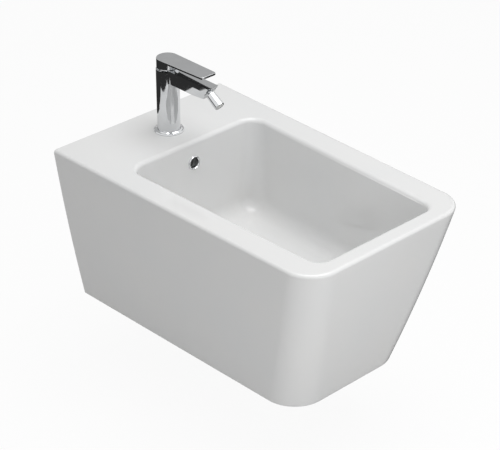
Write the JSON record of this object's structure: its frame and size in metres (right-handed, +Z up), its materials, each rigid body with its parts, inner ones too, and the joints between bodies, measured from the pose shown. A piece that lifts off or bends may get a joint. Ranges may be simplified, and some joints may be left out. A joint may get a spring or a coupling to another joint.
{
  "type": "wall-hung bidet",
  "caption": "Wall-hung bidet: tapered rectangular ceramic body with a deep bowl and overflow, a push plug, and a lever mixer whose nozzle tilts on a ball joint",
  "frame": {"origin": "midway between the two wall fixings, in the wall plane, 80 mm below the deck", "axes": "+Z up, -Y out from the wall towards the user, +X to the right seen from the front"},
  "size_m": [0.3556, 0.5587, 0.4144],
  "materials": {
    "glaze": "gloss white glaze",
    "chrome": "polished chrome on brass",
    "rubber": "moulded rubber",
    "white_plastic": "moulded",
    "grey_plastic": "moulded",
    "steel": "zinc plated",
    "brass": "machined",
    "disc_ceramic": "lapped"
  },
  "bodies": {
    "bidet": {"ceramic_body": "glaze", "overflow_ring": "chrome", "fixing_bushes": "white_plastic", "fixing_washers": "steel", "fixing_nuts": "steel", "waste_body": "chrome", "waste_upper_seal": "rubber", "waste_lower_seal": "rubber", "waste_slip_washer": "grey_plastic", "waste_locknut": "brass", "plug_guide": "white_plastic", "tap_body": "chrome", "tap_base_ring": "chrome", "tap_base_seal": "rubber", "tap_stud": "steel", "clamp_gasket": "rubber", "clamp_washer": "steel", "clamp_nut": "brass", "cartridge_base": "white_plastic", "cartridge_seals": "rubber", "cartridge_housing": "grey_plastic", "fixed_disc": "disc_ceramic", "cartridge_nut": "brass", "dome_ring": "chrome", "nozzle_collar": "chrome", "ball_seal": "rubber"},
    "swivel": {"turning_guide": "grey_plastic", "stem_pin": "steel"},
    "lever": {"lever_handle": "chrome", "lever_stem": "brass", "grub_screw": "steel", "screw_cover": "chrome"},
    "mixing_disc": {"moving_disc": "disc_ceramic", "disc_carrier": "grey_plastic"},
    "nozzle_ring": {"ball_liner": "white_plastic"},
    "nozzle": {"nozzle_ball": "chrome", "nozzle_sleeve": "chrome", "aerator_insert": "white_plastic", "aerator_seal": "rubber"},
    "plug": {"plug_cap": "chrome", "plug_seal": "rubber", "plug_stem": "brass"}
  },
  "joints": [
    {"name": "lever_turn", "type": "hinge", "parent": "bidet", "child": "swivel", "pos_m": [0, -0.071, 0.193], "axis": [0, 0, 1], "range_deg": [-45, 45]},
    {"name": "lever_lift", "type": "hinge", "parent": "swivel", "child": "lever", "pos_m": [0, -0.071, 0.193], "axis": [-1, 0, 0], "range_deg": [0, 20]},
    {"name": "disc_shift", "type": "slide", "parent": "swivel", "child": "mixing_disc", "axis": [0, -1, 0], "range_m": [0, 0.0057]},
    {"name": "nozzle_turn", "type": "hinge", "parent": "bidet", "child": "nozzle_ring", "pos_m": [0, -0.16731, 0.18062], "axis": [0, -0.8387, -0.5446], "range_deg": [-90, 90]},
    {"name": "nozzle_tilt", "type": "hinge", "parent": "nozzle_ring", "child": "nozzle", "pos_m": [0, -0.16731, 0.18062], "axis": [1, 0, 0], "range_deg": [-15, 15]},
    {"name": "plug_push", "type": "slide", "parent": "bidet", "child": "plug", "axis": [0, 0, 1], "range_m": [-0.007, 0]}
  ],
  "couplings": [
    {"joint": "disc_shift", "follows": "lever_lift", "m_per_rad": 0.016}
  ]
}
